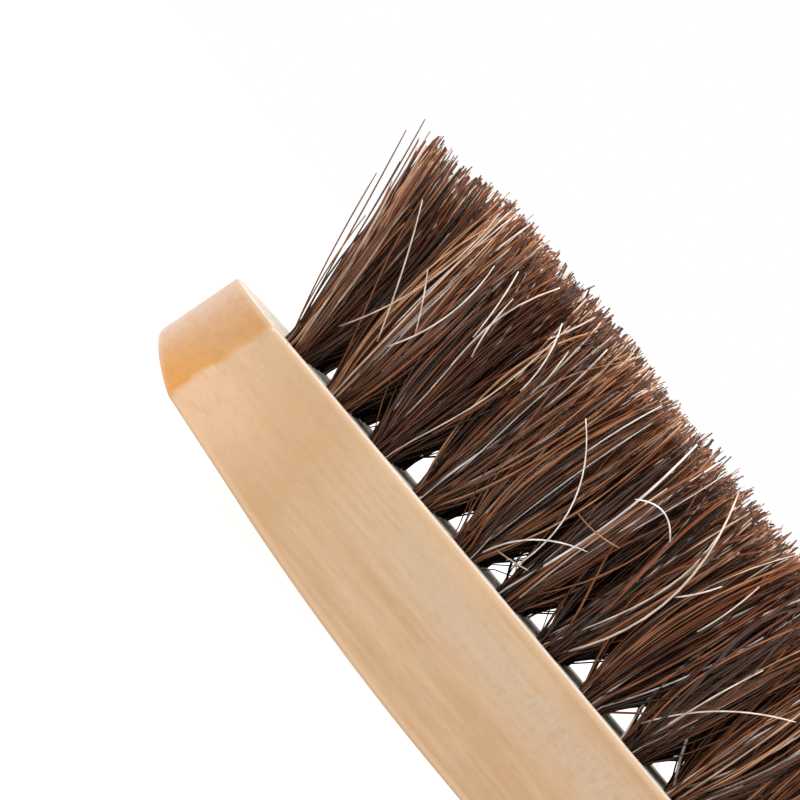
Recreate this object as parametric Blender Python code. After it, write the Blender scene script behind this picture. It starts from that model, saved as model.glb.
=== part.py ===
# A shoe brush: a shaped wooden block with tufts of horsehair set into drilled holes.
# It lies on the flat middle of its back with the bristles up. Lengths are in metres.
# X runs along the block, Y across it, and the origin is at the middle of the resting face.

import math
import random

import bmesh
import bpy

# Tuft pattern
RANK_COUNT = 19              # ranks of tufts along the block
ROW_COUNT = 5                # tufts in one rank, across the block
RANK_PITCH = 0.0080
ROW_PITCH = 0.0085
HOLE_RADIUS = 0.0021
HOLE_FLOOR = 0.0055          # wood left under the end holes, where the block is thinnest

# Block outline, seen from the bristles
CORNER_SETBACK = 0.0004      # the corners lie this far inside the last rank's half pitch
SIDE_LAND = 0.0043           # solid wood between the tufted field and a long side
END_BOW = 0.0094             # how far the rounded ends stand out past the corners
CORNER_ROUND = 0.0018        # radius where a long side meets an end

# Block profile, seen from the side
THICKNESS = 0.0195           # at the flat middle
FLAT_LENGTH = 0.0410         # flat middle of the back
BLEND_LENGTH = 0.0415        # curve from the flat to the taper, at each end of it
TAPER_SLOPE = 0.116          # rise of the back for each metre along the taper
NOSE_SLOPE = 0.29            # slope of the back just past the corners
NOSE_RADIUS = 0.043          # curve of the back from the corners out to the tip
CORNER_LEAN = 0.100          # how far the end wall leans out below the face, at the corners
TIP_LEAN = 0.072             # the same at the middle of the end
FACE_EDGE_ROUND = 0.0005
BACK_EDGE_ROUND = 0.0006

# Tufts
HAIR_LENGTH = 0.0310         # from the bristle face to the trimmed tips
TRIM_SPREAD = 0.0012         # the corners of the strands' ends lie up to this far below the longest
ROOT_SCATTER = 0.00015       # the sides of a strand's root lie up to this far inside its quarter of the hole
KNEE_HEIGHT = 0.0095         # strands on the outside of the field have spread out by this height
KNEE_SPREAD = 0.80           # to this share of their part of the tuft's cell
END_FLARE = 0.0070           # how far the tips at the ends lean out past the tufted field
SIDE_FLARE = 0.0035          # the same at the long sides
FLARE_POWER = 4.0            # the flare gathers towards the ends and sides

# Slices of the face that carry the tufts
SLICE_THICKNESS = 0.0012
SLICE_RIM = 0.0013           # slice left outside its outer holes
PLUG_SEAT = 0.7              # depth at which the packed roots join the slice, as a share of it
STRAND_SEAT = 0.4            # depth at which the strands join the slice, as a share of it
CLEARANCE = 0.0003           # between pieces that touch and between strands

# Facets
HOLE_SIDES = 8
PLUG_SIDES = 5
BLEND_STEPS = 8
END_STEPS = 7                # from a corner to the middle of an end
CORNER_STEPS = 3
FACE_EDGE_STEPS = 2
BACK_EDGE_STEPS = 3
SEED = 11

# Sizes that follow from the values above
half_rank_span = (RANK_COUNT - 1) * RANK_PITCH / 2
half_row_span = (ROW_COUNT - 1) * ROW_PITCH / 2
slice_half_width = (RANK_PITCH - CLEARANCE) / 2
slice_half_length = half_row_span + HOLE_RADIUS + SLICE_RIM
pocket_half_x = half_rank_span + slice_half_width + CLEARANCE
pocket_half_y = slice_half_length + CLEARANCE
pocket_depth = SLICE_THICKNESS + CLEARANCE
half_width = pocket_half_y + SIDE_LAND
corner_x = half_rank_span + RANK_PITCH / 2 - CORNER_SETBACK
plug_radius = HOLE_RADIUS - CLEARANCE
root_reach = plug_radius / math.sqrt(2)
cell_reach = ((RANK_PITCH - CLEARANCE) / 2, (ROW_PITCH - CLEARANCE) / 2)
field_half = (half_rank_span + RANK_PITCH / 2, half_row_span + ROW_PITCH / 2)


def taper_height(x):
    """Height of the back at x without the nose: flat, then a parabola, then a straight taper."""
    past_flat = max(abs(x) - FLAT_LENGTH / 2, 0.0)
    in_blend = min(past_flat, BLEND_LENGTH)
    on_taper = past_flat - in_blend
    return TAPER_SLOPE * (in_blend ** 2 / (2 * BLEND_LENGTH) + on_taper)


corner_depth = THICKNESS - taper_height(corner_x)
nose_start = corner_x + CORNER_LEAN * corner_depth
face_tip = corner_x + END_BOW
back_tip = face_tip + TIP_LEAN * corner_depth
hole_bottom = taper_height(half_rank_span + HOLE_RADIUS) + HOLE_FLOOR


def back_height(x):
    """Height of the back at x, with the steeper nose outside the corners."""
    past_corner = abs(x) - nose_start
    if past_corner <= 0:
        return taper_height(x)
    return taper_height(nose_start) + NOSE_SLOPE * past_corner + past_corner ** 2 / (2 * NOSE_RADIUS)


def end_arc(start, bow, y):
    """X of the bowed end at y: a circle through both corners that stands out by the bow."""
    radius = (half_width ** 2 + bow ** 2) / (2 * bow)
    return start + bow - radius + math.sqrt(radius ** 2 - y ** 2)


def make_material(name, colour, roughness):
    material = bpy.data.materials.new(name)
    material.use_nodes = True
    material.diffuse_color = (*colour, 1.0)
    shader = material.node_tree.nodes["Principled BSDF"]
    shader.inputs["Base Color"].default_value = (*colour, 1.0)
    shader.inputs["Roughness"].default_value = roughness
    shader.inputs["Metallic"].default_value = 0.0
    return material


def make_object(name, mesh_builder, material=None):
    """One object from a bmesh, with smooth faces and sharp edges where it turns a corner."""
    mesh = bpy.data.meshes.new(name)
    bmesh.ops.recalc_face_normals(mesh_builder, faces=mesh_builder.faces)
    mesh_builder.to_mesh(mesh)
    mesh_builder.free()
    mesh.shade_smooth()
    mesh.set_sharp_from_angle(angle=math.radians(35))
    item = bpy.data.objects.new(name, mesh)
    bpy.context.scene.collection.objects.link(item)
    if material:
        mesh.materials.append(material)
    return item


def make_cutter(name, mesh_builder):
    cutter = make_object(name, mesh_builder)
    cutter.display_type = "WIRE"
    cutter.hide_render = True
    return cutter


def add_boolean(target, tool, operation):
    modifier = target.modifiers.new(tool.name, "BOOLEAN")
    modifier.operation = operation
    modifier.solver = "EXACT"
    modifier.object = tool


def add_box(mesh_builder, low, high):
    """A closed box between two corners."""
    corners = bmesh.ops.create_cube(mesh_builder, size=1.0)["verts"]
    for corner in corners:
        for axis in range(3):
            corner.co[axis] = high[axis] if corner.co[axis] > 0 else low[axis]


def add_tube(mesh_builder, rings):
    """A closed tube through rings of points."""
    loops = [[mesh_builder.verts.new(point) for point in ring] for ring in rings]
    sides = len(loops[0])
    for lower, upper in zip(loops, loops[1:]):
        for k in range(sides):
            n = (k + 1) % sides
            mesh_builder.faces.new((lower[k], lower[n], upper[n], upper[k]))
    mesh_builder.faces.new(tuple(reversed(loops[0])))
    mesh_builder.faces.new(loops[-1])


def ring_of_points(x, y, z, radius, sides, turn=0.0):
    angles = [turn + 2 * math.pi * k / sides for k in range(sides)]
    return [(x + radius * math.cos(a), y + radius * math.sin(a), z) for a in angles]


def block_rows():
    """Cross rows of the block from one tip to the other: x on the face, x on the back, half width."""
    half = []
    for step in range(BLEND_STEPS + 1):
        x = FLAT_LENGTH / 2 + BLEND_LENGTH * step / BLEND_STEPS
        if x < corner_x - CORNER_ROUND:
            half.append((x, x, half_width))
    for step in range(END_STEPS + 1):
        y = half_width * (1 - step / END_STEPS)
        face_x = end_arc(corner_x, END_BOW, y)
        back_x = end_arc(nose_start, back_tip - nose_start, y)
        half.append((face_x, back_x, y))
    mirrored = [(-face_x, -back_x, y) for face_x, back_x, y in reversed(half)]
    return mirrored + half


def edges_between(mesh_builder, first_test, second_test):
    """Edges whose two faces pass one test each."""
    found = []
    for edge in mesh_builder.edges:
        if len(edge.link_faces) != 2:
            continue
        one, other = edge.link_faces
        if (first_test(one) and second_test(other)) or (first_test(other) and second_test(one)):
            found.append(edge)
    return found


def round_edges(mesh_builder, edges, width, steps):
    bmesh.ops.bevel(mesh_builder, geom=edges, offset=width, offset_type="OFFSET", segments=steps,
                    profile=0.5, affect="EDGES", clamp_overlap=True)


def build_block(material):
    """The bare block: walls between the face outline and the back outline, then its rounded edges."""
    builder = bmesh.new()
    rows = []
    for face_x, back_x, y in block_rows():
        sides = (-1, 1) if y > 0 else (0,)
        face = [builder.verts.new((face_x, side * y, THICKNESS)) for side in sides]
        back = [builder.verts.new((back_x, side * y, back_height(back_x))) for side in sides]
        rows.append((face, back))

    for (face, back), (next_face, next_back) in zip(rows, rows[1:]):
        builder.faces.new(back + list(reversed(next_back)))
        for side in (0, -1):
            builder.faces.new((face[side], next_face[side], next_back[side], back[side]))
    left = [face[0] for face, back in rows]
    right = [face[-1] for face, back in reversed(rows) if len(face) == 2]
    builder.faces.new(left + right)
    bmesh.ops.recalc_face_normals(builder, faces=builder.faces)

    corners = [edge for edge in builder.edges if is_corner_edge(edge)]
    turn = math.pi / 2 - math.asin(half_width / ((half_width ** 2 + END_BOW ** 2) / (2 * END_BOW)))
    round_edges(builder, corners, CORNER_ROUND * math.tan(turn / 2), CORNER_STEPS)
    builder.normal_update()
    face_edges = edges_between(builder, lambda f: f.normal.z > 0.9, lambda f: abs(f.normal.z) < 0.4)
    round_edges(builder, face_edges, FACE_EDGE_ROUND, FACE_EDGE_STEPS)
    builder.normal_update()
    back_edges = edges_between(builder, lambda f: f.normal.z < -0.6, lambda f: abs(f.normal.z) < 0.4)
    round_edges(builder, back_edges, BACK_EDGE_ROUND, BACK_EDGE_STEPS)
    return make_object("block", builder, material)


def is_corner_edge(edge):
    """True on the four upright edges where a long side meets an end."""
    top, bottom = sorted(edge.verts, key=lambda v: -v.co.z)
    upright = top.co.z - bottom.co.z > THICKNESS / 3
    at_side = min(abs(v.co.y) for v in edge.verts) > half_width * 0.999
    return upright and at_side and abs(top.co.x) > corner_x * 0.999


def rank_x(rank):
    return rank * RANK_PITCH - half_rank_span


def row_y(row):
    return row * ROW_PITCH - half_row_span


def cut_tuft_seats(block):
    """A shallow pocket for the slices and one blind hole for each tuft."""
    pocket = bmesh.new()
    add_box(pocket, (-pocket_half_x, -pocket_half_y, THICKNESS - pocket_depth),
            (pocket_half_x, pocket_half_y, THICKNESS + pocket_depth))
    add_boolean(block, make_cutter("pocket_cutter", pocket), "DIFFERENCE")

    drills = bmesh.new()
    turn = math.pi / HOLE_SIDES
    for rank in range(RANK_COUNT):
        for row in range(ROW_COUNT):
            ends = [ring_of_points(rank_x(rank), row_y(row), z, HOLE_RADIUS, HOLE_SIDES, turn)
                    for z in (hole_bottom, THICKNESS + pocket_depth)]
            add_tube(drills, ends)
    add_boolean(block, make_cutter("hole_cutter", drills), "DIFFERENCE")


def flared(position, edge, reach, height):
    """Where hair that stands at a position of the tufted field is at a height: leaning out near its edge."""
    share = min(max(height / HAIR_LENGTH, 0.0), 1.0)
    lean = reach * (abs(position) / edge) ** FLARE_POWER
    return position + math.copysign(lean * share, position)


def strand_ring(x, y, quarter, spans, heights):
    """Four corners of a strand in one quarter of its tuft. A span runs out from the tuft's middle."""
    (low_x, high_x), (low_y, high_y) = [
        sorted((side * near, side * far)) for side, (near, far) in zip(quarter, spans)]
    corners = [(low_x, low_y), (high_x, low_y), (high_x, high_y), (low_x, high_y)]
    ring = []
    for (dx, dy), height in zip(corners, heights):
        corner_x = flared(x + dx, field_half[0], END_FLARE, height)
        corner_y = flared(y + dy, field_half[1], SIDE_FLARE, height)
        ring.append((corner_x, corner_y, THICKNESS + height))
    return ring


def add_strand(builder, draw, x, y, quarter, outside):
    """One strand: it leaves its quarter of the hole and widens to fill its quarter of the tuft's cell."""
    near = CLEARANCE / 2
    root = []
    for _ in range(2):
        inner = near + draw.uniform(0.0, ROOT_SCATTER)
        root.append((inner, root_reach - draw.uniform(0.0, ROOT_SCATTER)))
    knee = [(near, reach * KNEE_SPREAD) for reach in cell_reach]
    top = [(near, reach) for reach in cell_reach]
    tips = [HAIR_LENGTH - draw.uniform(0.0, TRIM_SPREAD) for _ in range(4)]
    rings = [strand_ring(x, y, quarter, root, [-SLICE_THICKNESS * STRAND_SEAT] * 4)]
    if outside:
        rings.append(strand_ring(x, y, quarter, knee, [KNEE_HEIGHT] * 4))
    rings.append(strand_ring(x, y, quarter, top, tips))
    add_tube(builder, rings)


def build_rank(rank, material):
    """One rank of tufts: a slice of the face, the packed roots that fill its holes, and the strands."""
    draw = random.Random(SEED * 1000 + rank)
    x = rank_x(rank)
    name = f"tuft_rank_{rank + 1:02d}"

    face_slice = bmesh.new()
    add_box(face_slice, (x - slice_half_width, -slice_half_length, THICKNESS - SLICE_THICKNESS),
            (x + slice_half_width, slice_half_length, THICKNESS))
    body = make_object(name, face_slice, material)

    tufts = bmesh.new()
    for row in range(ROW_COUNT):
        y = row_y(row)
        ends = [ring_of_points(x, y, z, plug_radius, PLUG_SIDES)
                for z in (hole_bottom + CLEARANCE, THICKNESS - SLICE_THICKNESS * PLUG_SEAT)]
        add_tube(tufts, ends)
        for quarter in ((-1, -1), (1, -1), (1, 1), (-1, 1)):
            on_end = (rank, quarter[0]) in ((0, -1), (RANK_COUNT - 1, 1))
            on_side = (row, quarter[1]) in ((0, -1), (ROW_COUNT - 1, 1))
            add_strand(tufts, draw, x, y, quarter, on_end or on_side)
    add_boolean(body, make_cutter(name + "_tufts", tufts), "UNION")
    return body


def main():
    for old in list(bpy.data.objects):
        bpy.data.objects.remove(old, do_unlink=True)

    wood = make_material("lacquered_wood", (0.68, 0.44, 0.23), 0.38)
    hair = make_material("brown_horsehair", (0.075, 0.040, 0.026), 0.55)
    block = build_block(wood)
    cut_tuft_seats(block)
    for rank in range(RANK_COUNT):
        build_rank(rank, hair)
    print(f"block {2 * back_tip * 1000:.1f} x {2 * half_width * 1000:.1f} mm, "
          f"{RANK_COUNT * ROW_COUNT} tufts, height {(THICKNESS + HAIR_LENGTH) * 1000:.1f} mm")


main()
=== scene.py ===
import math

import bmesh
import bpy
import numpy as np
from mathutils import Matrix, Vector


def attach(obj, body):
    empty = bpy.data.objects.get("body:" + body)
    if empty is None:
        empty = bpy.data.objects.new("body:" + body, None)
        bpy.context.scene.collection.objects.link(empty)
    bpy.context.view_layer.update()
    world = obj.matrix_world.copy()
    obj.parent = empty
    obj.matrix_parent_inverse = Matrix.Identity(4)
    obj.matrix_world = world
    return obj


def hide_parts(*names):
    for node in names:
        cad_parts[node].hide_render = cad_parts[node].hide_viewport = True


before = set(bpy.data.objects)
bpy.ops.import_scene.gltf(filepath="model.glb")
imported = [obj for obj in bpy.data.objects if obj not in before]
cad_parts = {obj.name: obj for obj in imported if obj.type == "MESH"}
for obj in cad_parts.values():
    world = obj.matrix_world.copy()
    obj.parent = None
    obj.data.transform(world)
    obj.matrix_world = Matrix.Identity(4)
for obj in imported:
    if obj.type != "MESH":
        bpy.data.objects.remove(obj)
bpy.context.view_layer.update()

# Shoe brush: a lacquered wooden block with ranks of horsehair tufts. Lengths are in metres unless a name
# ends in mm. X runs along the block, Y across it, Z up towards the trimmed tips.
mm = 0.001


def rgb(red, green, blue):
    # Screen colour (0 to 255) to the linear colour that a shader takes.
    shares = [level / 255 for level in (red, green, blue)]
    return tuple(pow((s + 0.055) / 1.055, 2.4) if s > 10 / 255 else s / 12.92 for s in shares)


def newMesh(name, points, faces, material, smooth=True):
    # An object from an (n, 3) array of points and a list of arrays of corner numbers, one row for each face.
    mesh = bpy.data.meshes.new(name)
    corners = np.concatenate([part.ravel() for part in faces]).astype(np.int32)
    sides = np.concatenate([np.full(len(part), part.shape[1]) for part in faces])
    mesh.vertices.add(len(points))
    mesh.vertices.foreach_set("co", np.asarray(points, np.float32).ravel())
    mesh.loops.add(len(corners))
    mesh.loops.foreach_set("vertex_index", corners)
    mesh.polygons.add(len(sides))
    mesh.polygons.foreach_set("loop_start", (np.cumsum(sides) - sides).astype(np.int32))
    mesh.polygons.foreach_set("use_smooth", np.full(len(sides), smooth))
    mesh.update(calc_edges=True)
    mesh.materials.append(material)
    piece = bpy.data.objects.new(name, mesh)
    bpy.context.scene.collection.objects.link(piece)
    return piece


def gridQuads(rows, columns, first=0, closeColumns=False):
    # Corner numbers of a grid of points stored row by row; closeColumns joins the last column to the first.
    r = np.arange(rows - 1)[:, None]
    c = np.arange(columns if closeColumns else columns - 1)[None, :]
    n = (c + 1) % columns
    corners = [r * columns + c, r * columns + n, (r + 1) * columns + n, (r + 1) * columns + c]
    return np.stack([first + np.broadcast_to(k, (rows - 1, c.shape[1])) for k in corners], -1).reshape(-1, 4)


def weld(piece, distance):
    # Joins points that coincide, so that seams and poles close, and turns all faces outwards.
    builder = bmesh.new()
    builder.from_mesh(piece.data)
    bmesh.ops.remove_doubles(builder, verts=builder.verts, dist=distance)
    bmesh.ops.recalc_face_normals(builder, faces=builder.faces)
    builder.to_mesh(piece.data)
    builder.free()


def addNode(tree, kind, inputs=None, **settings):
    # A shader node with its settings. An input takes a plain value or another node's output.
    node = tree.nodes.new(kind)
    for key, value in settings.items():
        setattr(node, key, value)
    for key, value in (inputs or {}).items():
        if isinstance(value, bpy.types.NodeSocket):
            tree.links.new(value, node.inputs[key])
        else:
            node.inputs[key].default_value = value
    return node


def maths(tree, operation, first, second=0.0):
    return addNode(tree, "ShaderNodeMath", {0: first, 1: second}, operation=operation).outputs[0]


def product(tree, first, *others):
    # All values multiplied, in their order.
    for value in others:
        first = maths(tree, "MULTIPLY", first, value)
    return first


def ramped(tree, value, start, end, low=0.0, high=1.0):
    # A smooth step from low to high while the value goes from start to end.
    inputs = {"Value": value, "From Min": start, "From Max": end, "To Min": low, "To Max": high}
    return addNode(tree, "ShaderNodeMapRange", inputs, interpolation_type="SMOOTHSTEP").outputs["Result"]


def blended(tree, share, first, second):
    # Colour between two colours, each a linear colour or another node's output.
    inputs = {0: share}
    for key, colour in ((6, first), (7, second)):
        inputs[key] = colour if isinstance(colour, bpy.types.NodeSocket) else (*colour, 1.0)
    return addNode(tree, "ShaderNodeMix", inputs, data_type="RGBA").outputs[2]


def makeGrainGroup():
    # Noise from 0 to 1 with its own count of features to the metre along each axis.
    group = bpy.data.node_groups.new("grain", "ShaderNodeTree")
    for name, kind in (("Place", "NodeSocketVector"), ("PerMetre", "NodeSocketVector"),
                       ("Detail", "NodeSocketFloat"), ("Distortion", "NodeSocketFloat")):
        group.interface.new_socket(name=name, in_out="INPUT", socket_type=kind)
    group.interface.new_socket(name="Level", in_out="OUTPUT", socket_type="NodeSocketFloat")
    entry = addNode(group, "NodeGroupInput").outputs
    stretch = addNode(group, "ShaderNodeMapping", {"Vector": entry["Place"], "Scale": entry["PerMetre"]})
    inputs = {"Vector": stretch.outputs[0], "Scale": 1.0,
              "Detail": entry["Detail"], "Distortion": entry["Distortion"]}
    level = addNode(group, "ShaderNodeTexNoise", inputs).outputs["Fac"]
    addNode(group, "NodeGroupOutput", {"Level": level})
    return group


def grainNoise(tree, place, perMetre, detail, distortion=0.0):
    inputs = {"Place": place, "PerMetre": perMetre, "Detail": detail, "Distortion": distortion}
    return addNode(tree, "ShaderNodeGroup", inputs, node_tree=grainGroup).outputs["Level"]


grainGroup = makeGrainGroup()


# Camera: a long lens level with the bristle face, turned so that the brush runs down to the right
camera = {
    "photoSize": 800,              # pixels
    "sensorMm": 36.0,
    "clip": (0.05, 50.0),
    "pixelsPerMm": 8.25,           # on the near long side
    "distance": 0.850,             # from the near long side
    "foot": (0.0, 0.0405),         # x and z of the lens
    "aim": (-0.0586, 0.0255),      # x and z on the near side at the middle of the picture
    "alongOnPhoto": (0.643, 0.766),  # direction of +X on the picture, right and down
}


def makeCamera(v, nearY):
    position = Vector((v["foot"][0], nearY - v["distance"], v["foot"][1]))
    target = Vector((v["aim"][0], nearY, v["aim"][1]))
    back = (position - target).normalized()
    right, down = v["alongOnPhoto"]
    side = Vector((right, 0.0, down))
    side = (side - back * side.dot(back)).normalized()
    up = back.cross(side)
    data = bpy.data.cameras.new("photoCamera")
    data.sensor_width = v["sensorMm"]
    data.lens = v["sensorMm"] * v["pixelsPerMm"] * (position - target).length / mm / v["photoSize"]
    data.clip_start, data.clip_end = v["clip"]
    item = bpy.data.objects.new("photoCamera", data)
    item.matrix_world = Matrix.Translation(position) @ Matrix((side, up, back)).transposed().to_4x4()
    bpy.context.scene.collection.objects.link(item)
    bpy.context.scene.camera = item


# Stage: white floor and surroundings, and soft lamps
stage = {
    "floorSize": 12.0,
    "floorColour": rgb(188, 188, 188),
    "floorGlow": 0.90,             # the floor's own white, for the camera and for reflections
    "floorBounce": 0.45,           # the same for the light that it throws back
    "skyLight": 0.29,              # light from all round
    "lamps": [                     # name, place, size, watts
        ("keyLamp", (-0.75, -1.15, 1.05), 0.50, 20.0),
        ("fillLamp", (0.95, -1.20, 0.35), 0.9, 5.0),
        ("topLamp", (-0.25, -0.10, 1.40), 0.5, 9.0),
        ("backLamp", (0.55, 1.25, 0.85), 0.8, 7.0),
    ],
}


def backgroundRays(tree):
    # 1 where the camera, a reflection or clear glass looks at the background.
    path = addNode(tree, "ShaderNodeLightPath").outputs
    first = maths(tree, "MAXIMUM", path["Is Camera Ray"], path["Is Glossy Ray"])
    return maths(tree, "MAXIMUM", first, path["Is Transmission Ray"])


def makeStage(v):
    world = bpy.data.worlds.new("whiteRoom")
    bpy.context.scene.world = world
    world.use_nodes = True
    tree = world.node_tree
    background = tree.nodes["Background"]
    background.inputs["Color"].default_value = (1.0, 1.0, 1.0, 1.0)
    inputs = {"Value": backgroundRays(tree), "To Min": v["skyLight"], "To Max": 1.0}
    level = addNode(tree, "ShaderNodeMapRange", inputs)
    tree.links.new(level.outputs["Result"], background.inputs["Strength"])

    floorMaterial = bpy.data.materials.new("whiteFloor")
    floorMaterial.use_nodes = True
    tree = floorMaterial.node_tree
    tree.nodes.clear()
    diffuse = addNode(tree, "ShaderNodeBsdfDiffuse", {"Color": (*v["floorColour"], 1.0)})
    inputs = {"Value": backgroundRays(tree), "To Min": v["floorBounce"], "To Max": v["floorGlow"]}
    glowLevel = addNode(tree, "ShaderNodeMapRange", inputs).outputs["Result"]
    glow = addNode(tree, "ShaderNodeEmission", {"Strength": glowLevel})
    both = addNode(tree, "ShaderNodeAddShader", {0: diffuse.outputs[0], 1: glow.outputs[0]})
    addNode(tree, "ShaderNodeOutputMaterial", {"Surface": both.outputs[0]})
    half = v["floorSize"] / 2
    corners = np.array([(-half, -half, 0), (half, -half, 0), (half, half, 0), (-half, half, 0)])
    newMesh("floor", corners, [np.array([[0, 1, 2, 3]])], floorMaterial, smooth=False)

    for name, place, size, watts in v["lamps"]:
        lamp = bpy.data.lights.new(name, "AREA")
        lamp.size = size
        lamp.energy = watts
        item = bpy.data.objects.new(name, lamp)
        item.location = place
        item.rotation_euler = (-Vector(place)).to_track_quat("-Z", "Y").to_euler()
        bpy.context.scene.collection.objects.link(item)


# Block: the same outline and profile as the solid under it, with its rounded edges and drilled holes
block = {
    "cornerX": 0.0756,             # where the long sides end, on the bristle face
    "halfWidth": 0.0250,
    "faceZ": 0.0195,
    "faceTipX": 0.0850,            # middle of the rounded end, on the bristle face
    "backCornerX": 0.07715,        # the same two on the back
    "backTipX": 0.08612,
    "flatHalf": 0.0205,            # the back is flat up to here
    "blend": 0.0415,               # run of the parabola after it
    "taper": 0.116,                # slope of the straight part
    "noseSlope": 0.29,             # slope just past the corners
    "noseRadius": 0.043,           # radius in which it steepens from there
    "cornerRound": 0.0018,
    "faceEdge": 0.0005,            # radius of the rounded edges
    "backEdge": 0.0006,
    "holeRadius": 0.0021,
    "holeRim": 0.0002,
    "holeDepth": 0.0060,
    "fieldHalf": (0.0751, 0.0201),  # the drilled field of the face
    "endSteps": 16,                # mesh steps in half of a rounded end
    "filletSteps": 8,
    "borderSteps": 4,              # from the drilled field to the rounded edge
    "faceEdgeSteps": 5,
    "wallSteps": 12,
    "nearEdge": 0.03,              # share of the wall at which one more loop lies by each edge
    "backEdgeSteps": 6,
    "backSteps": 24,               # across the back
    "cellRings": (0.0, 0.45, 0.8),  # shares of the way from a cell's border to its hole
    "weldDistance": 2e-6,
    "sharpAngle": 50.0,            # degrees
}
tuftField = {"ranks": 19, "rows": 5, "rankPitch": 0.0080, "rowPitch": 0.0085}
cellSteps = 8                      # mesh steps along one side of a tuft's cell


def evenPlaces(number, pitch):
    # Places at an even pitch, with zero in their middle.
    return (np.arange(number) - (number - 1) / 2) * pitch


def backHeight(x):
    # Height of the back: flat, then a parabola, then a straight taper, then a steeper nose past the corners.
    v = block
    a = np.abs(x)
    inBlend = np.clip(np.minimum(a, v["backCornerX"]) - v["flatHalf"], 0, v["blend"])
    onTaper = np.clip(np.minimum(a, v["backCornerX"]) - v["flatHalf"] - v["blend"], 0, None)
    past = np.clip(a - v["backCornerX"], 0, None)
    return v["taper"] * (inBlend ** 2 / (2 * v["blend"]) + onTaper) + v["noseSlope"] * past \
        + past ** 2 / (2 * v["noseRadius"])


def halfOutline(cornerX, tipX, steps):
    # Half of the plan outline, from one tip along the -Y side to the other: an arc for each end through both
    # corners, a small fillet, and a straight side. Returns points and outward normals.
    w, r = block["halfWidth"], block["cornerRound"]
    bow = tipX - cornerX
    radius = (w * w + bow * bow) / (2 * bow)
    centre = tipX - radius
    filletX = centre + math.sqrt((radius - r) ** 2 - (w - r) ** 2)
    meet = math.atan2(-(w - r), filletX - centre)
    endSteps, filletSteps, sideSteps = steps
    end = np.linspace(meet, 0, endSteps + 1)[1:]
    fillet = np.linspace(-math.pi / 2, meet, filletSteps + 1)[1:]
    sideX = np.linspace(0, filletX, sideSteps // 2 + 1)
    x = np.concatenate([sideX, filletX + r * np.cos(fillet), centre + radius * np.cos(end)])
    y = np.concatenate([np.full(len(sideX), -w), -(w - r) + r * np.sin(fillet), radius * np.sin(end)])
    turn = np.concatenate([np.full(len(sideX), -math.pi / 2), fillet, end])
    points = np.stack([x, y], 1)
    normals = np.stack([np.cos(turn), np.sin(turn)], 1)
    flip = np.array([-1.0, 1.0])
    return np.concatenate([points[:0:-1] * flip, points]), np.concatenate([normals[:0:-1] * flip, normals])


def wholeLoop(half):
    # A half outline and its mirror image, as one closed loop.
    return np.concatenate([half, half[-2:0:-1] * np.array([1.0, -1.0])])


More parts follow.
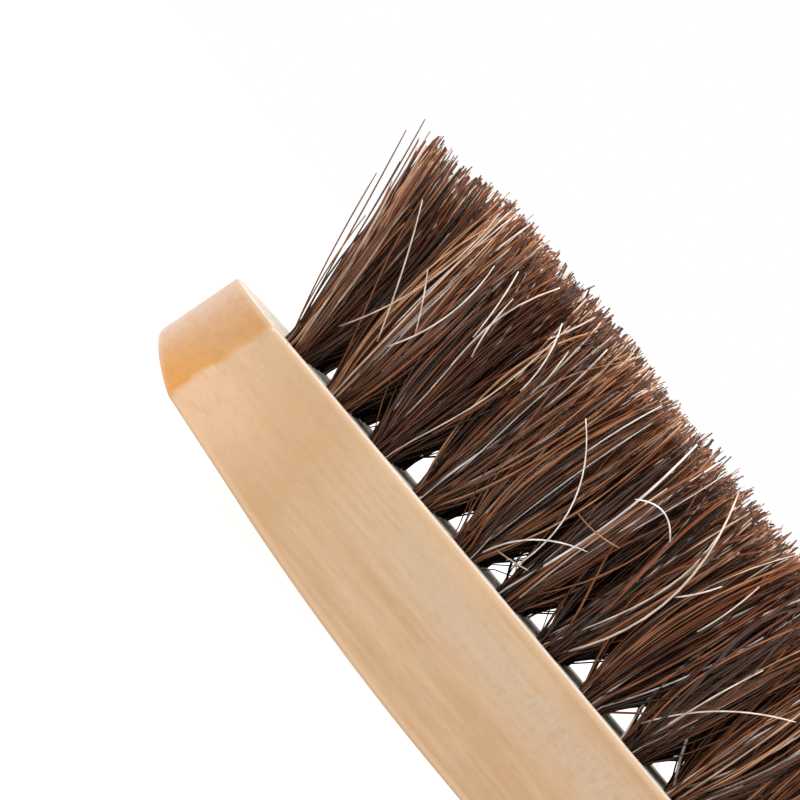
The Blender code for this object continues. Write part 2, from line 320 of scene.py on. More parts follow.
def makeBlock(v, field, material):
    # The wall is a grid of loops, each the face outline moved by a share of the way to the back outline. At a
    # rounded edge a loop moves by the sine of its turn one way, and by one minus the cosine the other way. The
    # back is a grid of rows straight across, and a tuft's cell goes by shares from its square border to its
    # round hole.
    sideSteps = cellSteps * (field["ranks"] + field["rows"]) - 2 * (v["endSteps"] + v["filletSteps"])
    steps = (v["endSteps"], v["filletSteps"], sideSteps)  # so that a loop matches the drilled field's border
    faceHalf, _ = halfOutline(v["cornerX"], v["faceTipX"], steps)
    backHalf, backNormal = halfOutline(v["backCornerX"], v["backTipX"], steps)
    faceLoop, backLoop, normal = wholeLoop(faceHalf), wholeLoop(backHalf), wholeLoop(backNormal)
    count = len(faceLoop)
    backZ = backHeight(backLoop[:, 0])

    def cellEdges(number, pitch, limit):
        edges = evenPlaces(number + 1, pitch)
        edges[0], edges[-1] = -limit, limit
        return edges

    def fineSteps(edges):
        return np.interp(np.arange((len(edges) - 1) * cellSteps + 1) / cellSteps, np.arange(len(edges)), edges)

    edgeX = cellEdges(field["ranks"], field["rankPitch"], v["fieldHalf"][0])
    edgeY = cellEdges(field["rows"], field["rowPitch"], v["fieldHalf"][1])
    fineX, fineY = fineSteps(edgeX), fineSteps(edgeY)
    lowY = fineY[:len(fineY) // 2 + 1][::-1]
    fieldHalf = np.concatenate([
        np.stack([np.full(len(lowY), edgeX[0]), lowY], 1),
        np.stack([fineX[1:-1], np.full(len(fineX) - 2, edgeY[0])], 1),
        np.stack([np.full(len(lowY), edgeX[-1]), lowY[::-1]], 1)])
    fieldLoop = wholeLoop(fieldHalf)

    loops, highlightMask = [], []

    def addLoop(flat, z, highlight):
        loops.append(np.column_stack([flat, np.broadcast_to(z, count)]))
        highlightMask.append(highlight)

    innerFace = faceLoop - normal * v["faceEdge"]
    for share in np.linspace(0, 1, v["borderSteps"] + 1):
        addLoop(fieldLoop + (innerFace - fieldLoop) * share, v["faceZ"], 1.0 if share == 1.0 else 0.0)
    for turn in np.linspace(0, math.pi / 2, v["faceEdgeSteps"] + 1)[1:]:
        flat = innerFace + normal * v["faceEdge"] * math.sin(turn)
        addLoop(flat, v["faceZ"] - v["faceEdge"] * (1 - math.cos(turn)), 1.0)
    wallTop = v["faceZ"] - v["faceEdge"]
    wallFoot = backZ + v["backEdge"]
    inside = np.linspace(0, 1, v["wallSteps"] + 1)[1:-1]
    for share in (v["nearEdge"], *inside, 1 - v["nearEdge"], 1.0):
        flat = faceLoop + (backLoop - faceLoop) * share
        addLoop(flat, wallTop + (wallFoot - wallTop) * share, 1.0 if share == 1.0 else 0.0)
    innerBack = backLoop - normal * v["backEdge"]
    innerZ = backHeight(innerBack[:, 0])
    for turn in np.linspace(0, math.pi / 2, v["backEdgeSteps"] + 1)[1:]:
        flat = backLoop - normal * v["backEdge"] * (1 - math.cos(turn))
        addLoop(flat, wallFoot + (innerZ - wallFoot) * math.sin(turn), 1.0)
    wall = np.stack(loops)
    points = [wall.reshape(-1, 3)]
    quads = [gridQuads(len(loops), count, 0, closeColumns=True)]
    total = wall.shape[0] * count

    low = wall[-1][:count // 2 + 1]
    high = np.concatenate([wall[-1][:1], wall[-1][:count // 2 - 1:-1]])
    share = np.linspace(0, 1, v["backSteps"] + 1)[None, :, None]
    back = low[:, None, :] + (high - low)[:, None, :] * share
    points.append(back.reshape(-1, 3))
    quads.append(gridQuads(len(low), v["backSteps"] + 1, total))
    total += back.shape[0] * back.shape[1]

    side = np.arange(cellSteps) / cellSteps
    squareU = np.concatenate([side, np.ones(cellSteps), 1 - side, np.zeros(cellSteps)])
    squareV = np.concatenate([np.zeros(cellSteps), side, np.ones(cellSteps), 1 - side])
    around = 4 * cellSteps
    angle = -math.pi * 0.75 + 2 * math.pi * np.arange(around) / around
    cosine, sine = np.cos(angle), np.sin(angle)
    rankX = evenPlaces(field["ranks"], field["rankPitch"])
    rowY = evenPlaces(field["rows"], field["rowPitch"])
    rimRadius = v["holeRadius"] + v["holeRim"]
    holeRings = [(rimRadius, 0.0), (v["holeRadius"], v["holeRim"]), (v["holeRadius"], v["holeDepth"] / 2),
                 (v["holeRadius"], v["holeDepth"]), (0.0, v["holeDepth"])]
    for i in range(field["ranks"]):
        for j in range(field["rows"]):
            borderX = edgeX[i] + (edgeX[i + 1] - edgeX[i]) * squareU
            borderY = edgeY[j] + (edgeY[j + 1] - edgeY[j]) * squareV
            border = np.stack([borderX, borderY, np.full(around, v["faceZ"])], 1)
            rings = [np.stack([rankX[i] + r * cosine, rowY[j] + r * sine, np.full(around, v["faceZ"] - d)], 1)
                     for r, d in holeRings]
            middle = [border + (rings[0] - border) * s for s in v["cellRings"]]
            cell = np.stack(middle + rings)
            points.append(cell.reshape(-1, 3))
            quads.append(gridQuads(len(cell), around, total, closeColumns=True))
            total += len(cell) * around

    points = np.concatenate(points)
    piece = newMesh("woodBlock", points, quads, material)
    # The loops of the rounded edges carry a mask for the painted highlight there.
    edgeHighlight = np.zeros(len(points), np.float32)
    edgeHighlight[:len(loops) * count] = np.repeat(highlightMask, count)
    piece.data.attributes.new("edgeHighlight", "FLOAT", "POINT").data.foreach_set("value", edgeHighlight)
    weld(piece, v["weldDistance"])
    piece.data.set_sharp_from_angle(angle=math.radians(v["sharpAngle"]))
    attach(piece, "root")
    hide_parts("block")


# Wood finish: clear satin lacquer over pale straight-grained wood. The end grain has soaked up more of it and
# turned amber, and the bristle face is bare. Two numbers are the start and end of a smooth step from 0 to 1,
# and four numbers also give its low and high level.
wood = {
    "light": rgb(192, 159, 122),
    "dark": rgb(174, 138, 99),
    "bandPerMetre": (9.0, 150.0, 120.0),  # broad growth bands
    "bandShare": 0.6,
    "grainPerMetre": (75.0, 1300.0, 1200.0),  # fine lines along the block
    "grainShare": 0.4,
    "darkTone": (0.36, 0.64),
    "warm": rgb(179, 137, 91),
    "warmFrom": (0.052, 0.062),    # distance from the middle of the block
    "warmUntil": (0.076, 0.066),
    "warmLevel": 0.55,
    # painted light: the long side paler towards the ends and the back
    "paintedLightEnd": rgb(212, 173, 137),
    "paintedLightFrom": (0.058, 0.075),
    "paintedLightDepth": (0.000, 0.012),   # depth below the face
    "paintedLightLevel": 0.85,
    "fleckAndSheen": rgb(181, 159, 134),   # pale flecks across the grain within a painted sheen band; also the soft blotches
    "fleckAndSheenTop": (0.0015, 0.0045),  # depth below the face
    "fleckAndSheenFoot": (0.0105, 0.0060),
    "fleckAndSheenReach": (0.058, 0.036),  # distance from the middle
    "fleckAndSheenLevel": (0.30, 0.66, 0.25, 0.95),
    "ripplePerMetre": (900.0, 300.0, 330.0),
    "mottlePerMetre": (420.0, 500.0, 500.0),  # soft blotches all over
    "mottleLevel": (0.40, 0.75, 0.0, 0.30),
    "pore": rgb(178, 128, 86),
    "speckPerMetre": (800.0, 1900.0, 1900.0),
    "speckLevel": (0.46, 0.82, 0.0, 0.30),
    "porePerMetre": (500.0, 2600.0, 2600.0),
    "poreLevel": (0.60, 0.75, 0.0, 0.16),
    "endLean": 0.10,               # the end wall's lean below the face, at the corners
    "endWobble": 0.0022,           # how far the line where the end grain starts wanders
    "endStep": (-0.0008, 0.0009),
    "amber": rgb(188, 136, 74),
    # painted reflection: the end paler pink towards its middle, where it is seen at a grazing angle
    "endReflection": rgb(206, 163, 126),
    "endReflectionSide": (0.024, 0.004),    # distance from the middle of the width
    "deepAmber": rgb(206, 136, 28),
    "deepSide": (0.008, 0.024),
    "deepDepth": (0.004, 0.015),
    "streak": rgb(172, 116, 66),
    "streakPerMetre": (500.0, 420.0, 700.0),
    "streakLevel": (0.38, 0.72, 0.0, 0.42),
    "highlight": rgb(216, 183, 147),    # painted highlight: lighter wood on the rounded edges
    "highlightLevel": 0.38,
    "unhighlightDepth": (0.003, 0.008),  # where the edge of the end grain gets no painted highlight
    "face": rgb(240, 226, 212),
    "faceUp": (0.60, 0.95),        # upward part of the surface's direction
    "faceDepth": (0.0006, 0.0002),
    "fleckPerMetre": (1400.0, 1400.0, 1400.0),
    "fleckLevel": (0.55, 0.75, 0.0, 0.5),
    "holeShade": rgb(96, 66, 44),     # painted shade inside the holes
    "holeShadeDepth": (0.0006, 0.0030),
    "holeShadeSide": (0.0205, 0.0200),
    "holeShadeReach": (0.0752, 0.0745),
    "holeShadeBelow": 0.0005,         # how far the painted shade goes past a hole's foot
    "relief": (0.5, 0.5, 3.0),     # of the grain, the pores and the bare face's flecks
    "bumpStrength": 0.25,
    "bumpHeight": 0.00010,
    "roughLevel": (0.30, 0.70, 0.37, 0.47),
    "faceRougher": 0.35,
    "coat": 0.30,
    "coatRoughness": 0.22,
}


def makeWoodMaterial(v, solid):
    material = bpy.data.materials.new("lacqueredWood")
    material.use_nodes = True
    tree = material.node_tree
    shader = tree.nodes["Principled BSDF"]
    place = addNode(tree, "ShaderNodeTexCoord").outputs["Object"]
    axes = addNode(tree, "ShaderNodeSeparateXYZ", {0: place}).outputs
    facing = addNode(tree, "ShaderNodeNewGeometry").outputs["Normal"]
    up = addNode(tree, "ShaderNodeSeparateXYZ", {0: facing}).outputs["Z"]
    fromMiddle = maths(tree, "ABSOLUTE", axes["X"])
    sideways = maths(tree, "ABSOLUTE", axes["Y"])
    depth = maths(tree, "SUBTRACT", solid["faceZ"], axes["Z"])

    def step(value, name):
        return ramped(tree, value, *v[name])

    def noise(name, detail, distortion=0.0):
        return grainNoise(tree, place, v[name], detail, distortion)

    band = noise("bandPerMetre", 2.0, 0.6)
    grain = noise("grainPerMetre", 3.0)
    ripple = noise("ripplePerMetre", 2.0, 1.5)
    mottle = noise("mottlePerMetre", 3.0, 0.8)
    speck = noise("speckPerMetre", 3.0, 0.4)
    pore = noise("porePerMetre", 1.0)
    tone = maths(tree, "ADD", product(tree, band, v["bandShare"]), product(tree, grain, v["grainShare"]))
    colour = blended(tree, step(tone, "darkTone"), v["light"], v["dark"])
    warm = product(tree, step(fromMiddle, "warmFrom"), step(fromMiddle, "warmUntil"), v["warmLevel"])
    colour = blended(tree, warm, colour, v["warm"])
    # Painted light: the long side paler towards the ends and the back.
    pale = product(tree, step(fromMiddle, "paintedLightFrom"), step(depth, "paintedLightDepth"), v["paintedLightLevel"])
    colour = blended(tree, pale, colour, v["paintedLightEnd"])
    # Painted sheen: a band along the side below the face, broken into pale flecks across the grain.
    fleckAndSheen = product(tree, step(depth, "fleckAndSheenTop"), step(depth, "fleckAndSheenFoot"),
                    step(fromMiddle, "fleckAndSheenReach"), step(ripple, "fleckAndSheenLevel"))
    colour = blended(tree, fleckAndSheen, colour, v["fleckAndSheen"])
    colour = blended(tree, step(mottle, "mottleLevel"), colour, v["fleckAndSheen"])
    colour = blended(tree, step(speck, "speckLevel"), colour, v["pore"])
    colour = blended(tree, step(pore, "poreLevel"), colour, v["pore"])

    # The end grain starts at a line that leans with depth and wanders a little
    wobble = product(tree, maths(tree, "SUBTRACT", mottle, 0.5), v["endWobble"])
    line = maths(tree, "ADD", product(tree, depth, v["endLean"]), solid["cornerX"])
    pastEnd = maths(tree, "ADD", maths(tree, "SUBTRACT", fromMiddle, line), wobble)
    endShare = step(pastEnd, "endStep")
    # Painted reflection: the end grain paler pink towards the middle of each end.
    endColour = blended(tree, step(sideways, "endReflectionSide"), v["amber"], v["endReflection"])
    deep = product(tree, step(depth, "deepDepth"), step(sideways, "deepSide"))
    endColour = blended(tree, deep, endColour, v["deepAmber"])
    streak = noise("streakPerMetre", 4.0, 0.8)
    endColour = blended(tree, step(streak, "streakLevel"), endColour, v["streak"])
    colour = blended(tree, endShare, colour, endColour)

    # Painted highlight: the rounded edges lighter, but not on the edge of the deep end grain.
    highlightMask = addNode(tree, "ShaderNodeAttribute", attribute_name="edgeHighlight").outputs["Fac"]
    unhighlight = product(tree, step(depth, "unhighlightDepth"), endShare)
    highlightLevel = maths(tree, "SUBTRACT", v["highlightLevel"], product(tree, unhighlight, v["highlightLevel"]))
    colour = blended(tree, product(tree, highlightMask, highlightLevel), colour, v["highlight"])

    face = product(tree, step(up, "faceUp"), step(depth, "faceDepth"))
    fleck = noise("fleckPerMetre", 3.0)
    bare = blended(tree, step(fleck, "fleckLevel"), v["face"], v["pore"])
    colour = blended(tree, face, colour, bare)
    # Painted shade inside the holes.
    holeFoot = solid["faceZ"] - solid["holeDepth"] - v["holeShadeBelow"]
    inHoleShade = product(tree, step(depth, "holeShadeDepth"), step(sideways, "holeShadeSide"),
                     step(fromMiddle, "holeShadeReach"), maths(tree, "GREATER_THAN", axes["Z"], holeFoot))
    colour = blended(tree, inHoleShade, colour, v["holeShade"])

    grainRelief, poreRelief, fleckRelief = v["relief"]
    height = maths(tree, "ADD", product(tree, grain, grainRelief), product(tree, pore, poreRelief))
    height = maths(tree, "ADD", height, product(tree, face, fleck, fleckRelief))
    inputs = {"Strength": v["bumpStrength"], "Distance": v["bumpHeight"], "Height": height}
    bump = addNode(tree, "ShaderNodeBump", inputs)
    rough = maths(tree, "ADD", step(band, "roughLevel"), product(tree, face, v["faceRougher"]))
    coat = product(tree, maths(tree, "SUBTRACT", 1.0, face), v["coat"])
    tree.links.new(colour, shader.inputs["Base Color"])
    tree.links.new(rough, shader.inputs["Roughness"])
    tree.links.new(coat, shader.inputs["Coat Weight"])
    shader.inputs["Coat Roughness"].default_value = v["coatRoughness"]
    tree.links.new(bump.outputs[0], shader.inputs["Normal"])
    return material


# Hair: each tuft is a bundle of locks, and each hair is a thin three-sided tube that thins at its tip
hair = {
    "seed": 7,
    "perTuft": 124,
    "locks": 9,
    "rings": 13,                   # steps along a hair
    "around": 3,                   # sides of its tube
    "bundleRadius": 0.00200,       # at the mouth of the hole
    "rootDepth": 0.0040,
    "length": 0.0311,
    "radius": (0.000085, 0.000215),  # of a single hair
    "radiusPower": 1.4,            # above 1, thin hairs are more common than thick ones
    "looseRadius": 0.00011,
    "taperRun": 0.3,               # share of its length over which a hair thins
    "tipThinner": 0.35,            # by this share of its radius
    "endLean": 8.6,                # degrees at the last ranks
    "endReach": 0.0150,
    "endWidth": 0.004,             # the last ranks' own rules fade over this distance
    "endTight": 0.95,              # share by which their outermost locks open less
    "endCalm": 0.28,               # share by which their slopes stray less
    "endStraight": 0.9,            # share by which they bend less
    "endFlare": 0.55,              # how much more they lean at the tip than at the root
    "leanByRoot": 0.5,             # share of a hair's place in its hole that counts for its lean
    "sweep": 6.0,                  # degrees, a gentle comb of the visible half towards the middle
    "sweepCentre": -0.015,
    "sweepReach": 0.035,
    "sideLean": 6.0,
    "sideCalm": 0.40,              # share by which the outer rows stray less sideways
    "fan": 0.0046,
    "fanHeight": (0.030, 0.006),   # height in which a tuft opens, in the middle and at the ends
    "lockSlope": 0.068,            # how far locks and single hairs stray, as sideways way over height
    "ownSlope": 0.034,
    "slopeLimit": 0.24,
    "lockBend": 0.0011,            # sideways bow at half height
    "ownBend": 0.0008,
    "wave": 0.00026,               # height of a slow wave along the hair
    "waveTurn": 5.5,               # radians from face to tip
    "waveStart": 6.0,              # the wave is full from one part in six of the height
    "lockOpening": (-0.5, 0.7),    # how a lock closes or opens towards its tip
    "wildShare": 0.13,
    "wildMore": 2.0,               # how much more a wild hair strays
    "trimStray": (0.3, 1.7),       # how much of the trim line's step a hair takes
    "lockTrim": 0.0007,            # how unevenly locks and single hairs are cut
    "ownTrim": 0.0002,
    "shortShare": 0.30,            # hairs that end lower, and by about how much
    "shortBy": 0.0040,
    "lockTone": 0.35,              # how much of a hair's tone is its lock's and how much its own
    "ownTone": 0.62,
    "paleShare": 0.072,
    "paleTone": (0.88, 1.0),
    "rootPaintedShade": (0.05, 0.50),     # painted shade at the face, for the middle row and the outer rows
    "shadeReach": (0.024, 0.008),  # height over which it clears, for the same
    "tipShade": 1.38,
    "tipRun": 0.35,                # share of the length that is the brighter tip
    "looseY": -0.0190,             # loose hairs: place across the brush at the face
    "looseOut": 0.0068,            # how far they come out above it
    "looseOutHeight": 0.010,
    "looseTipOut": 0.0030,
    "looseTuck": 0.0022,           # how far in they start
    "mottlePerMetre": (700.0, 700.0, 260.0),
    "mottleLevel": (0.3, 0.7, 0.75, 1.25),
    "bumpStrength": 0.3,
    "bumpHeight": 0.00002,
    "roughness": 0.29,
    "specular": 0.58,
    "specularTint": (1.0, 0.88, 0.78),
}
trimLine = [                       # x and how much longer or shorter the hair is trimmed there
    (-0.083, -0.0045), (-0.078, -0.0022), (-0.073, -0.0004), (-0.068, 0.0004), (-0.056, 0.0004),
    (-0.044, 0.0), (-0.030, -0.0006), (0.030, -0.0004), (0.060, 0.0002), (0.074, -0.0004), (0.083, -0.0035),
]
hairTones = [                      # share of the way through the tones, colour
    (0.00, rgb(15, 8, 6)),
    (0.25, rgb(39, 19, 12)),
    (0.48, rgb(82, 41, 22)),
    (0.66, rgb(138, 80, 45)),
    (0.80, rgb(184, 136, 100)),
    (0.91, rgb(216, 194, 176)),
    (1.00, rgb(242, 235, 230)),
]
looseHairs = [                     # mm along the block and above the face, at start and end, bow in mm, tone
    (-34.5, 3.0, -42.3, 21.8, 3.3, 0.97),
    (-38.6, 0.3, -29.9, 11.6, -1.8, 1.00),
    (-24.4, 20.0, -31.0, 20.1, 1.7, 0.97),
    (-34.3, 13.7, -27.7, 14.9, 0.4, 0.70),
    (-37.4, 3.2, -32.9, 4.6, 0.1, 0.88),
    (-66.1, 8.4, -75.3, 23.7, 0.4, 0.90),
    (-70.6, 6.0, -67.9, 29.7, 1.9, 0.86),
    (-64.8, 9.0, -63.5, 25.2, 1.5, 0.96),
    (-63.6, 12.4, -68.5, 18.8, 0.2, 0.92),
    (-58.8, 17.7, -61.1, 27.0, 0.3, 0.95),
    (-57.1, 16.0, -59.0, 24.4, -0.3, 0.93),
    (-50.1, 17.9, -52.9, 27.0, 0.7, 0.97),
    (-48.9, 20.3, -49.8, 25.4, 0.1, 0.95),
    (-52.7, 24.4, -50.9, 30.5, 0.2, 0.90),
    (-18.9, 16.2, -16.2, 21.4, 0.2, 0.95),
    (-14.0, 15.6, -13.3, 24.8, 0.3, 0.92),
    (-8.1, 1.8, -5.3, 18.7, -0.3, 0.93),
    (-9.9, 3.2, 2.0, 17.7, -1.4, 0.96),
    (-73.2, 0.5, -81.2, 28.1, 0.6, 0.55),
    (-73.4, 0.5, -82.5, 30.2, 0.5, 0.42),
    (-73.5, 0.5, -83.0, 27.6, 0.3, 0.50),
    (-73.6, 0.5, -81.4, 21.5, -0.2, 0.60),
    (-73.6, 0.5, -78.4, 17.2, -0.4, 0.66),
    (-73.3, 0.5, -80.6, 24.6, 0.4, 0.30),
    (-73.0, 0.5, -79.6, 30.4, 0.2, 0.70),
    (21.4, 6.0, 27.9, 24.0, 1.2, 0.94),
    (52.6, 2.5, 47.0, 22.5, -1.6, 0.96),
    (73.5, 0.5, 81.9, 27.0, -0.4, 0.50),
]


def makeHairMaterial(v, tones):
    # The hairs' UV map holds no picture: its X is a hair's tone and its Y is the brightness painted at that
    # point, dark with painted shade near the face.
    material = bpy.data.materials.new("horsehair")
    material.use_nodes = True
    tree = material.node_tree
    shader = tree.nodes["Principled BSDF"]
    hairMap = addNode(tree, "ShaderNodeUVMap", uv_map="hairMap").outputs[0]
    tone = addNode(tree, "ShaderNodeSeparateXYZ", {0: hairMap}).outputs
    ramp = addNode(tree, "ShaderNodeValToRGB", {0: tone["X"]})
    stops = ramp.color_ramp.elements
    stops.remove(stops[1])
    stops[0].position = tones[0][0]
    stops[0].color = (*tones[0][1], 1.0)
    for position, colour in tones[1:]:
        stop = stops.new(position)
        stop.color = (*colour, 1.0)
    place = addNode(tree, "ShaderNodeTexCoord").outputs["Object"]
    mottle = grainNoise(tree, place, v["mottlePerMetre"], 2.0)
    level = product(tree, tone["Y"], ramped(tree, mottle, *v["mottleLevel"]))
    inputs = {0: ramp.outputs["Color"], "Scale": level}
    scaled = addNode(tree, "ShaderNodeVectorMath", inputs, operation="SCALE")
    inputs = {"Strength": v["bumpStrength"], "Distance": v["bumpHeight"], "Height": mottle}
    bump = addNode(tree, "ShaderNodeBump", inputs)
    tree.links.new(scaled.outputs[0], shader.inputs["Base Color"])
    shader.inputs["Roughness"].default_value = v["roughness"]
    shader.inputs["Specular IOR Level"].default_value = v["specular"]
    shader.inputs["Specular Tint"].default_value = (*v["specularTint"], 1.0)
    tree.links.new(bump.outputs[0], shader.inputs["Normal"])
    return material


def leanAt(x, v):
    # Mean lean of the hair at x, in radians: outward at both ends, fading by an exponential, and a broad
    # bell-shaped sweep between them.
    half = (tuftField["ranks"] - 1) / 2 * tuftField["rankPitch"]
    ends = np.exp(-(half - x) / v["endReach"]) - np.exp(-(half + x) / v["endReach"])
    sweep = np.exp(-((x - v["sweepCentre"]) / v["sweepReach"]) ** 2)
    return np.radians(v["endLean"] * ends + v["sweep"] * sweep)


def hairPaths(v, rankX, rowYs, draw):
    # Centre lines of one rank's hairs. A hair's sideways travel is lean times height, plus a fan that opens
    # from the hole and levels off by an exponential, plus its lock's and its own slope times height, a bend
    # that is a parabola of height and a slow sine wave.
    rows, count = len(rowYs), v["perTuft"]
    shape = (rows, count)

    def discPoints(number):
        radius = v["bundleRadius"] * np.sqrt(draw.uniform(0, 1, (rows, number)))
        angle = draw.uniform(0, 2 * math.pi, (rows, number))
        return np.stack([radius * np.cos(angle), radius * np.sin(angle)], -1)

    root, lockRoot = discPoints(count), discPoints(v["locks"])
    distance = np.linalg.norm(root[:, :, None] - lockRoot[:, None], axis=3)
    lock = distance.argmin(axis=2)

    def ofLock(values):
        return np.take_along_axis(values, lock, 1)

    def lockDraw(spread):
        return np.stack([ofLock(draw.normal(0, spread, (rows, v["locks"]))) for _ in range(2)], -1)

    half = tuftField["ranks"] * tuftField["rankPitch"] / 2
    outermost = np.exp((abs(rankX) + tuftField["rankPitch"] / 2 - half) / v["endWidth"])
    wildShare = v["wildShare"] * (1 - outermost)
    wild = (1 + v["wildMore"] * (draw.uniform(0, 1, shape) < wildShare))[..., None]
    slope = lockDraw(v["lockSlope"]) + draw.normal(0, v["ownSlope"], (*shape, 2)) * wild
    slope[..., 0] *= 1 - v["endCalm"] * outermost
    slope = np.clip(slope, -v["slopeLimit"], v["slopeLimit"])
    side = (np.abs(rowYs) / np.abs(rowYs).max()) ** 2
    slope[..., 1] *= (1 - v["sideCalm"] * side)[:, None]
    bend = lockDraw(v["lockBend"]) + draw.normal(0, v["ownBend"], (*shape, 2)) * wild
    bend[..., 0] *= 1 - v["endStraight"] * outermost
    bend[..., 1] *= (1 - v["sideCalm"] * side)[:, None]
    wave = draw.normal(0, v["wave"], (*shape, 2)) * wild
    phase = draw.uniform(0, 2 * math.pi, shape)[..., None]
    opening = ofLock(draw.uniform(*v["lockOpening"], (rows, v["locks"])))

    tuftY = np.broadcast_to(np.asarray(rowYs)[:, None], shape)
    lean = np.tan(leanAt(rankX + root[..., 0] * v["leanByRoot"], v))
    sideLean = np.tan(np.radians(v["sideLean"])) * (tuftY / np.abs(tuftY).max()) ** 3
    slope = slope + np.stack([lean, sideLean], -1)
    trim = np.interp(rankX + slope[..., 0] * v["length"], *np.transpose(trimLine))
    trim = trim * draw.uniform(*v["trimStray"], shape)
    cut = v["length"] + trim + ofLock(draw.normal(0, v["lockTrim"], (rows, v["locks"])))
    cut = cut + draw.normal(0, v["ownTrim"], shape)
    cut = cut - (draw.uniform(0, 1, shape) < v["shortShare"]) * np.abs(draw.normal(0, v["shortBy"], shape))
    top = cut * np.cos(np.arctan(np.linalg.norm(slope, axis=2)))

    share = np.linspace(0, 1, v["rings"] + 1)
    z = -v["rootDepth"] + (top[..., None] + v["rootDepth"]) * share
    above = np.clip(z, 0, None)[..., None]
    tall = above / v["length"]
    fanHeight = np.interp(abs(rankX), (0, half), v["fanHeight"])
    fan = v["fan"] * (1 - np.exp(-above / fanHeight))
    lockCentre = np.take_along_axis(lockRoot, lock[..., None], 1)
    outward = outermost * np.clip(lockCentre[..., 0] * np.sign(rankX) / v["bundleRadius"], 0, 1)
    fan = fan * (1 - v["endTight"] * outward)[:, :, None, None]
    flare = 1 + v["endFlare"] * outermost * (tall - 0.5)
    own = (root - lockCentre)[:, :, None] * (1 + opening[..., None, None] * tall)
    ripple = np.sin(phase[:, :, None] + tall * v["waveTurn"]) - np.sin(phase)[:, :, None]
    flat = lockCentre[:, :, None] * (1 + fan / v["bundleRadius"]) + own + slope[:, :, None] * above * flare \
        + bend[:, :, None] * 4 * tall * (1 - tall) \
        + wave[:, :, None] * ripple * np.clip(tall * v["waveStart"], 0, 1)
    x = rankX + flat[..., 0]
    y = tuftY[..., None] + flat[..., 1]
    path = np.stack([x, y, block["faceZ"] + z], -1)

    lockTone = ofLock(draw.uniform(0, 1, (rows, v["locks"])))
    tone = v["lockTone"] * lockTone + v["ownTone"] * draw.uniform(0, 1, shape)
    pale = draw.uniform(0, 1, shape) < v["paleShare"]
    tone = np.where(pale, draw.uniform(*v["paleTone"], shape), tone)
    thin, thick = v["radius"]
    size = thin + (thick - thin) * draw.uniform(0, 1, shape) ** v["radiusPower"]
    return path.reshape(-1, v["rings"] + 1, 3), tone.ravel(), size.ravel()


def loosePaths(v, rankX, pitch):
    # The loose hairs that start nearest to this rank: each is straight from start to end plus a parabola of
    # its bow. It comes out from among the others by an exponential and lies on the near side of the outer row.
    share = np.linspace(0, 1, v["rings"] + 1)
    paths, tones = [], []
    for startX, startZ, endX, endZ, bow, tone in looseHairs:
        if not -pitch / 2 <= startX * mm - rankX < pitch / 2:
            continue
        run = np.array([endX - startX, endZ - startZ])
        sideways = np.array([run[1], -run[0]]) / np.linalg.norm(run)
        arc = (bow * 4 * share * (1 - share))[:, None]
        flat = np.array([startX, startZ]) + run * share[:, None] + sideways * arc
        height = flat[:, 1] * mm
        lie = v["looseY"] - v["looseOut"] * (1 - np.exp(-height / v["looseOutHeight"]))
        lie = lie - v["looseTipOut"] * np.clip(height / v["length"], 0, 1) + v["looseTuck"] * (1 - share) ** 3
        paths.append(np.stack([flat[:, 0] * mm, lie, block["faceZ"] + height], -1))
        tones.append(tone)
    return paths, tones


def hairTubes(v, path, size):
    # A tube round each centre line: ring corners lie at radius times taper from the line, in the two
    # directions square to its run, and the taper falls with the square of the way into the last part. A face
    # closes each end.
    count, rings, _ = path.shape
    run = np.gradient(path, axis=1)
    run /= np.linalg.norm(run, axis=2, keepdims=True)
    first = np.cross(run, np.array([0.0, 1.0, 0.0]))
    first /= np.linalg.norm(first, axis=2, keepdims=True)
    second = np.cross(run, first)
    past = np.linspace(0, 1, rings) - (1 - v["taperRun"])
    taper = np.where(past > 0, 1 - v["tipThinner"] * (past / v["taperRun"]) ** 2, 1.0)
    corner = np.arange(v["around"])
    angle = 2 * math.pi * corner / v["around"] + 0.5
    ring = first[:, :, None] * np.cos(angle)[:, None] + second[:, :, None] * np.sin(angle)[:, None]
    points = path[:, :, None] + ring * (size[:, None] * taper)[:, :, None, None]
    start = (np.arange(count) * rings * v["around"])[:, None, None]
    sides = gridQuads(rings, v["around"], 0, closeColumns=True)[None] + start
    caps = np.stack([corner[::-1], corner + (rings - 1) * v["around"]])[None] + start
    return points.reshape(-1, 3), [sides.reshape(-1, 4), caps.reshape(-1, v["around"])]


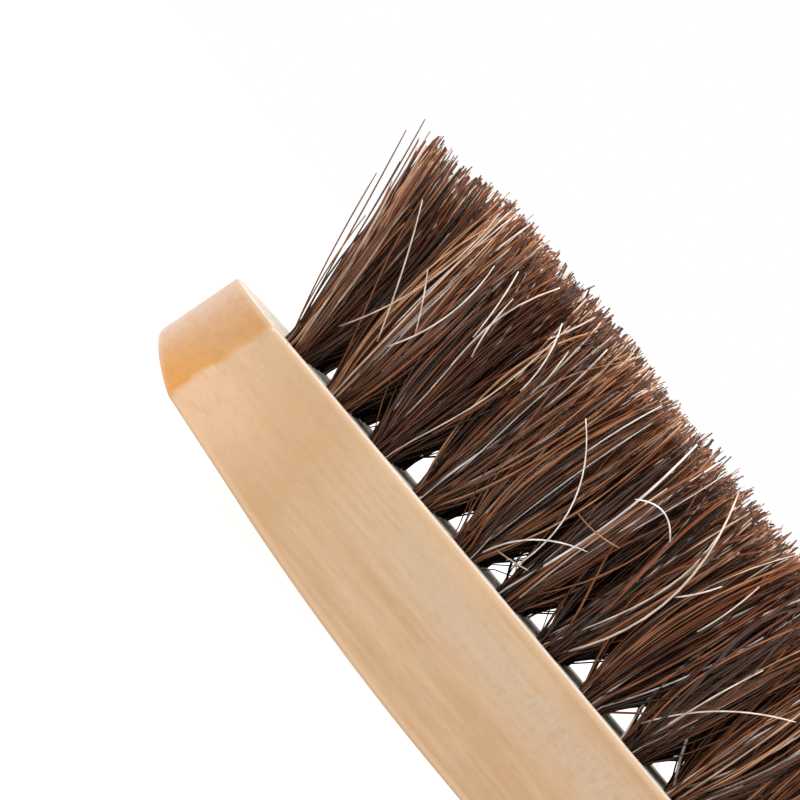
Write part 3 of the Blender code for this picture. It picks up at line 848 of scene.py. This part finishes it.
def paintedHairShade(v, path, rowYs):
    # Painted shade on each hair: dark at the face, where the rows shade each other, clearing with height by an
    # exponential, slowly among the middle rows and fast in the outer ones, and brighter along the tip.
    outer = np.clip(np.abs(path[:, :1, 1]) / max(rowYs), 0, 1) ** 2
    low = v["rootPaintedShade"][0] + (v["rootPaintedShade"][1] - v["rootPaintedShade"][0]) * outer
    reach = v["shadeReach"][0] + (v["shadeReach"][1] - v["shadeReach"][0]) * outer
    height = np.clip(path[..., 2] - block["faceZ"], 0, None)
    tip = np.clip(height / v["length"] - (1 - v["tipRun"]), 0, v["tipRun"]) / v["tipRun"]
    return (low + (1 - low) * (1 - np.exp(-height / reach))) * (1 + (v["tipShade"] - 1) * tip)


def makeHairRank(number, v, field, material):
    draw = np.random.default_rng(v["seed"] * 1000 + number)
    rankX = evenPlaces(field["ranks"], field["rankPitch"])[number]
    rowYs = evenPlaces(field["rows"], field["rowPitch"])
    path, tone, size = hairPaths(v, rankX, rowYs, draw)
    loose, looseTones = loosePaths(v, rankX, field["rankPitch"])
    if loose:
        path = np.concatenate([path, loose])
        tone = np.concatenate([tone, looseTones])
        size = np.concatenate([size, np.full(len(loose), v["looseRadius"])])
    points, faces = hairTubes(v, path, size)
    piece = newMesh(f"hairRank{number + 1:02d}", points, faces, material)
    pointTone = np.repeat(tone, path.shape[1] * v["around"])
    pointPaintedShade = np.repeat(paintedHairShade(v, path, rowYs).ravel(), v["around"])
    corners = np.concatenate([part.ravel() for part in faces])
    uv = np.stack([pointTone, pointPaintedShade], -1)[corners]
    piece.data.uv_layers.new(name="hairMap").uv.foreach_set("vector", uv.astype(np.float32).ravel())
    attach(piece, "root")
    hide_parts(f"tuft_rank_{number + 1:02d}")


makeCamera(camera, -block["halfWidth"])
makeStage(stage)
print("camera and stage are ready")
makeBlock(block, tuftField, makeWoodMaterial(wood, block))
print("block is ready")
horsehair = makeHairMaterial(hair, hairTones)
for number in range(tuftField["ranks"]):
    makeHairRank(number, hair, tuftField, horsehair)
print("hair is ready")

bpy.context.scene.view_settings.view_transform = "Standard"
